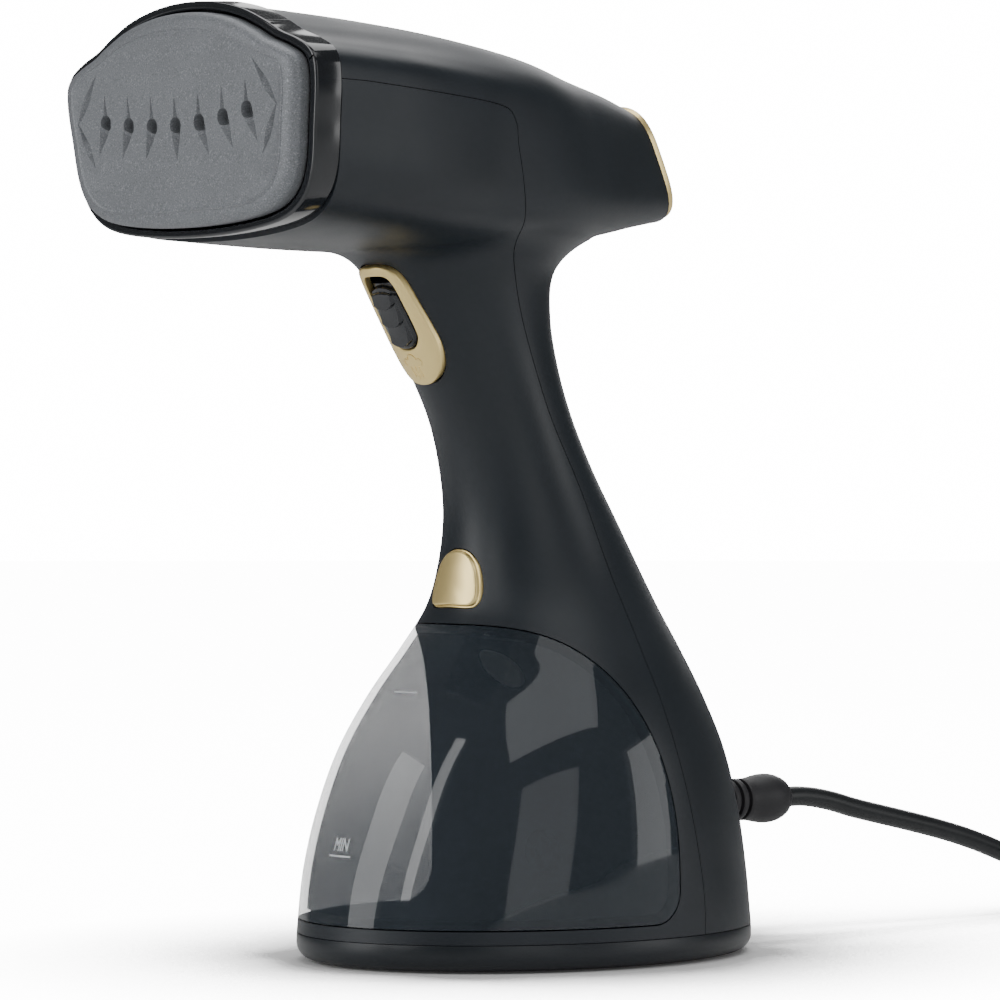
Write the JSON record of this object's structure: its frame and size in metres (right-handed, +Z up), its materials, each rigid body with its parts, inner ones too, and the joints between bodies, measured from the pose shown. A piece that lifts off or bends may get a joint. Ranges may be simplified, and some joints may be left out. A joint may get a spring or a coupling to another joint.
{
  "type": "garment steamer",
  "caption": "Upright handheld garment steamer: oval soleplate head on a waisted handle, smoked slide-out water tank in the base, trigger, tank release button and a coiled mains cord.",
  "frame": {"origin": "centre of the underside of the base pad, on the surface the steamer stands on", "axes": "+Z up, -Y the way the soleplate faces, +X to the right of someone facing the object's back"},
  "size_m": [0.1694, 0.4498, 0.2724],
  "materials": {
    "housing": "soft satin, near-black with a slight blue",
    "gloss_trim": "glossy black",
    "gold_trim": "champagne gold satin",
    "soleplate": "speckled grey coating",
    "smoked_tank": "smoked clear plastic, glossy",
    "rubber_pad": "matt rubber",
    "cord_rubber": "flexible black sheath",
    "silicone": "translucent silicone",
    "dark_plastic": "moulded heat-proof plastic",
    "cast_aluminium": "die cast",
    "sheet_steel": "rolled sheet",
    "element_steel": "heat-tinted",
    "ceramic": "glazed",
    "brass_fitting": "turned",
    "plug_brass": "nickel plated",
    "fasteners": "zinc plated",
    "pump_body": "coil and frame",
    "circuit_board": "solder mask",
    "relay_case": "moulded case",
    "wire_jacket": "wire insulation",
    "lens": "frosted indicator"
  },
  "bodies": {
    "housing": {"base_pad": "rubber_pad", "base_cap": "housing", "front_housing": "housing", "rear_housing": "housing", "head_ring": "gloss_trim", "soleplate": "soleplate", "plate_seal": "silicone", "plate_carrier": "dark_plastic", "steam_chamber": "cast_aluminium", "chamber_cover": "sheet_steel", "heating_element": "element_steel", "thermostat": "dark_plastic", "thermal_fuse": "ceramic", "steam_elbow": "brass_fitting", "chamber_screws": "fasteners", "trigger_bezel": "gold_trim", "trigger_pin": "fasteners", "trigger_spring": "fasteners", "trigger_switch": "dark_plastic", "button_guide": "dark_plastic", "release_spring": "fasteners", "water_socket": "dark_plastic", "pump": "pump_body", "pump_mount": "rubber_pad", "inlet_hose": "silicone", "outlet_hose": "silicone", "control_board": "circuit_board", "mains_relay": "relay_case", "mains_wires": "wire_jacket", "rear_trim": "gold_trim", "rear_cap": "housing", "indicator_lens": "lens", "cord_clamp": "dark_plastic", "strain_relief": "cord_rubber", "power_cord": "cord_rubber", "cord_coil": "cord_rubber", "coil_tie": "rubber_pad", "plug_lead": "cord_rubber", "plug_body": "cord_rubber", "plug_pins": "plug_brass", "base_screws": "fasteners", "clamp_screws": "fasteners"},
    "tank": {"water_tank": "smoked_tank", "tank_valve": "dark_plastic", "tank_seal": "silicone"},
    "filler": {"filler_cap": "silicone"},
    "trigger_body": {"trigger": "gloss_trim"},
    "release": {"release_button": "gold_trim"},
    "power": {"power_button": "gloss_trim"}
  },
  "joints": [
    {"name": "trigger_press", "type": "hinge", "parent": "housing", "child": "trigger_body", "pos_m": [0, -0.03692, 0.17596], "axis": [-1, 0, 0], "range_deg": [0, 8], "stiffness_Nm_per_rad": 0.6, "springref_deg": -5.73, "deforming": ["trigger_spring"]},
    {"name": "release_press", "type": "slide", "parent": "housing", "child": "release", "axis": [0, 0.9816, -0.1908], "range_m": [0, 0.002], "stiffness_N_per_m": 400, "springref_m": -0.001, "deforming": ["release_spring"]},
    {"name": "tank_slide", "type": "slide", "parent": "housing", "child": "tank", "axis": [0, -1, 0], "range_m": [0, 0.09]},
    {"name": "filler_pull", "type": "slide", "parent": "tank", "child": "filler", "axis": [0, 0.7325, 0.6807], "range_m": [0, 0.008]},
    {"name": "power_press", "type": "slide", "parent": "housing", "child": "power", "axis": [0, -0.9103, -0.4141], "range_m": [0, 0.001], "stiffness_N_per_m": 400, "springref_m": -0.001}
  ]
}
